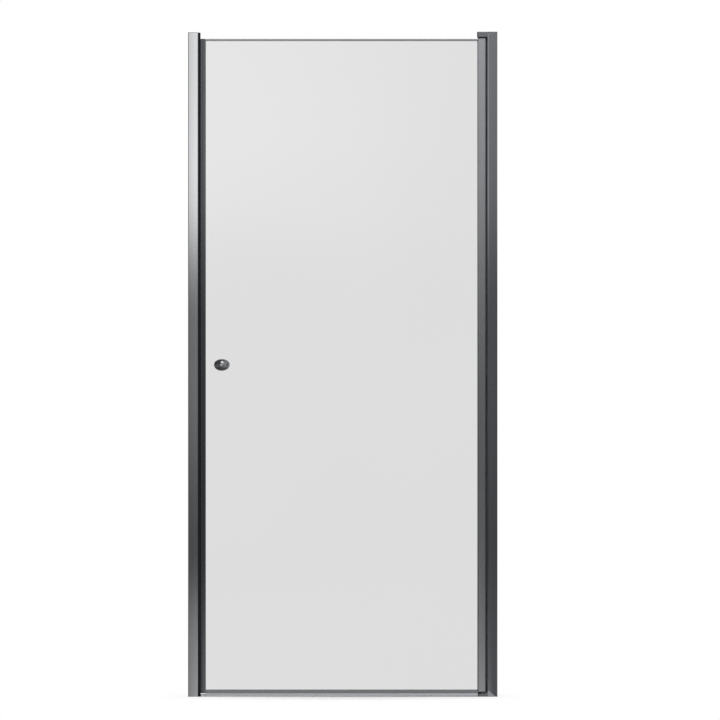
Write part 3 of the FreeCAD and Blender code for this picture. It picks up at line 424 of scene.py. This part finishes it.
# Light of the surround, by bearing from the camera's side and by height, both as shares from 0 to 1
surround_light = bpy.data.materials.new("studio_surround_light")
surround_light.use_nodes = True
tree = surround_light.node_tree
tree.nodes.remove(tree.nodes["Principled BSDF"])
place = add_node(tree, "ShaderNodeTexCoord").outputs["Object"]
way = add_node(tree, "ShaderNodeVectorMath", {"operation": "NORMALIZE"}, links={0: place})
way = add_node(tree, "ShaderNodeSeparateXYZ", links={0: way.outputs["Vector"]})
toward_camera = add_node(tree, "ShaderNodeMath", {"operation": "MULTIPLY"}, {1: -1.0}, {0: way.outputs["Y"]})
bearing = add_node(tree, "ShaderNodeMath", {"operation": "ARCTAN2"},
                   links={0: way.outputs["X"], 1: toward_camera.outputs[0]}).outputs[0]
turn = add_node(tree, "ShaderNodeMapRange", values={"From Min": -math.pi, "From Max": math.pi},
                links={"Value": bearing}).outputs["Result"]
rise = add_node(tree, "ShaderNodeMapRange", values={"From Min": -1.0, "From Max": 1.0},
                links={"Value": way.outputs["Z"]}).outputs["Result"]

# Each light has a colour, its levels by bearing, in degrees and positive towards the hinge,
# and its levels by height, as the sine of the elevation. The two levels are multiplied.
neutral = (1.0, 1.0, 1.0)
cool = (0.89, 0.93, 1.0)
studio_lights = [
    # Tall light to the left of the camera, with narrow strips to either side and dim ones behind
    (neutral,
     [(-180, 0.20), (-165, 0.50), (-148, 0.15), (-102, 0.08), (-44, 0.08), (-41, 0.30), (-35, 0.30),
      (-32, 0.08), (-20, 0.12), (-16, 0.30), (-12, 0.76), (-2, 1.0), (0, 0.66), (2, 0.06), (12, 0.04),
      (33, 0.22), (36, 0.85), (40, 0.85), (42, 0.12), (95, 0.12), (102, 0.28), (145, 0.28), (152, 0.20),
      (180, 0.20)],
     [(-1.0, 0.04), (-0.3, 0.05), (-0.15, 0.35), (-0.1, 0.40), (-0.075, 0.27), (-0.06, 0.24),
      (-0.047, 0.01), (0.0, 0.17), (0.025, 0.13), (0.035, 0.35), (0.048, 1.0), (0.06, 1.0), (0.08, 0.90),
      (0.12, 0.90), (0.25, 0.30), (0.35, 0.15), (1.0, 0.10)]),
    # Dim light to the right of the camera, with a bright top
    (cool,
     [(-180, 0.0), (0, 0.0), (2, 1.0), (11.5, 1.0), (15, 0.3), (30, 0.0), (180, 0.0)],
     [(-1.0, 0.01), (-0.3, 0.02), (-0.15, 0.08), (-0.06, 0.04), (-0.04, 0.03), (0.0, 0.045),
      (0.025, 0.045), (0.075, 0.12), (0.115, 0.12), (0.13, 1.0), (0.25, 1.0), (0.3, 0.2), (1.0, 0.02)]),
    # Wide soft light at the right-hand side
    (neutral,
     [(-180, 0.1), (-150, 0.0), (-8, 0.0), (8, 0.8), (16, 1.0), (70, 1.0), (120, 0.4), (180, 0.1)],
     [(-1.0, 0.0), (-0.7, 0.04), (-0.3, 0.07), (-0.2, 0.05), (-0.1, 0.0), (0.1, 0.0), (0.25, 0.2),
      (0.7, 0.2), (0.9, 0.1), (1.0, 0.0)]),
    # Glow of the room below eye level
    (neutral,
     [(-180, 1.0), (-125, 1.0), (-95, 0.40), (-20, 0.25), (8, 0.30), (20, 0.45), (95, 0.50), (125, 1.0),
      (180, 1.0)],
     [(-1.0, 0.08), (-0.65, 0.08), (-0.48, 0.30), (-0.18, 0.30), (-0.11, 0.0), (1.0, 0.0)]),
    # Pale wall behind the door
    (neutral,
     [(-180, 1.0), (-140, 1.0), (-115, 0.0), (115, 0.0), (140, 1.0), (180, 1.0)],
     [(-1.0, 0.0), (-0.2, 0.0), (-0.12, 0.5), (0.12, 0.5), (0.2, 0.0), (1.0, 0.0)]),
    # Weak light near the floor to the right
    (neutral,
     [(-180, 0.0), (17, 0.0), (21, 1.0), (44, 1.0), (50, 0.0), (180, 0.0)],
     [(-1.0, 0.0), (-0.25, 0.0), (-0.15, 0.10), (-0.07, 0.10), (-0.058, 0.0), (1.0, 0.0)]),
    # Light low down under the camera
    (neutral,
     [(-180, 0.0), (-14, 0.0), (-5, 0.3), (-2, 1.0), (2, 1.0), (4, 0.35), (8, 0.0), (180, 0.0)],
     [(-1.0, 0.0), (-0.26, 0.0), (-0.18, 0.65), (-0.12, 0.65), (-0.088, 0.4), (-0.08, 0.0), (1.0, 0.0)]),
    # Light overhead in front of the door, and a dim one behind it
    (neutral,
     [(-180, 0.35), (-140, 0.30), (-120, 0.02), (-14, 0.02), (-6, 1.0), (18, 1.0), (28, 0.05),
      (120, 0.10), (140, 0.30), (180, 0.35)],
     [(-1.0, 0.0), (0.52, 0.0), (0.6, 1.0), (0.86, 1.0), (0.93, 0.2), (1.0, 0.1)]),
]
dark_room = (0.030, 0.031, 0.032, 1.0)
glow = add_node(tree, "ShaderNodeRGB").outputs[0]
glow.default_value = dark_room
for colour, bearings, heights in studio_lights:
    bearing_stops = [((angle + 180) / 360, level) for angle, level in bearings]
    height_stops = [((height + 1) / 2, level) for height, level in heights]
    levels = []
    for along, stops, hue in ((turn, bearing_stops, colour), (rise, height_stops, neutral)):
        ramp = add_node(tree, "ShaderNodeValToRGB", links={"Fac": along})
        while len(ramp.color_ramp.elements) < len(stops):
            ramp.color_ramp.elements.new(0.5)
        for element, (position, level) in zip(ramp.color_ramp.elements, stops):
            element.position = position
            element.color = [level * part for part in hue] + [1.0]
        levels.append(ramp.outputs["Color"])
    glow = add_node(tree, "ShaderNodeVectorMath", {"operation": "MULTIPLY_ADD"},
                    links={0: levels[0], 1: levels[1], 2: glow}).outputs["Vector"]
lit = add_node(tree, "ShaderNodeEmission", links={"Color": glow})
tree.links.new(lit.outputs[0], tree.nodes["Material Output"].inputs["Surface"])
surround_light.cycles.emission_sampling = "NONE"
surround.data.materials.append(surround_light)

# Studio light: an even white world, seen as plain white and a little weaker as light,
# and one large soft lamp from the upper left for the shadow.

world = bpy.data.worlds.new("white_studio")
bpy.context.scene.world = world
world.use_nodes = True
tree = world.node_tree
background = tree.nodes["Background"]
lit_level = 0.95
seen_level = 1.0
path = add_node(tree, "ShaderNodeLightPath")
shown = add_node(tree, "ShaderNodeMath", {"operation": "ADD"},
                 links={0: path.outputs["Is Camera Ray"], 1: path.outputs["Is Glossy Ray"]})
shown = add_node(tree, "ShaderNodeMath", {"operation": "ADD", "use_clamp": True},
                 links={0: shown.outputs[0], 1: path.outputs["Is Transmission Ray"]})
strength = add_node(tree, "ShaderNodeMapRange", values={"To Min": lit_level, "To Max": seen_level},
                    links={"Value": shown.outputs[0]})
tree.links.new(strength.outputs["Result"], background.inputs["Strength"])
background.inputs["Color"].default_value = linear("#FFFFFF")

key = bpy.data.lights.new("soft_key_light", "AREA")
key.shape = "RECTANGLE"
key.size = 3.0
key.size_y = 2.0
key.energy = 45.0
key_lamp = bpy.data.objects.new("soft_key_light", key)
key_lamp.location = (-2.2, -3.2, 4.2)
key_lamp.rotation_euler = (math.radians(44), 0.0, math.radians(-34))
key_lamp.visible_glossy = False
bpy.context.scene.collection.objects.link(key_lamp)

# Camera, level and square on to the door, far enough for the flat view of the photo.
# A long lens brings the door's height to nearly that of the square picture.

camera_view = bpy.data.cameras.new("photo_view")
camera_view.sensor_width = 36.0
camera_view.lens = 209.7
camera = bpy.data.objects.new("photo_view", camera_view)
camera.location = (0.0492, -12.0, 0.9620)
camera.rotation_euler = (math.radians(90), 0.0, 0.0)
bpy.context.scene.collection.objects.link(camera)
bpy.context.scene.camera = camera
bpy.context.scene.view_settings.view_transform = "Standard"
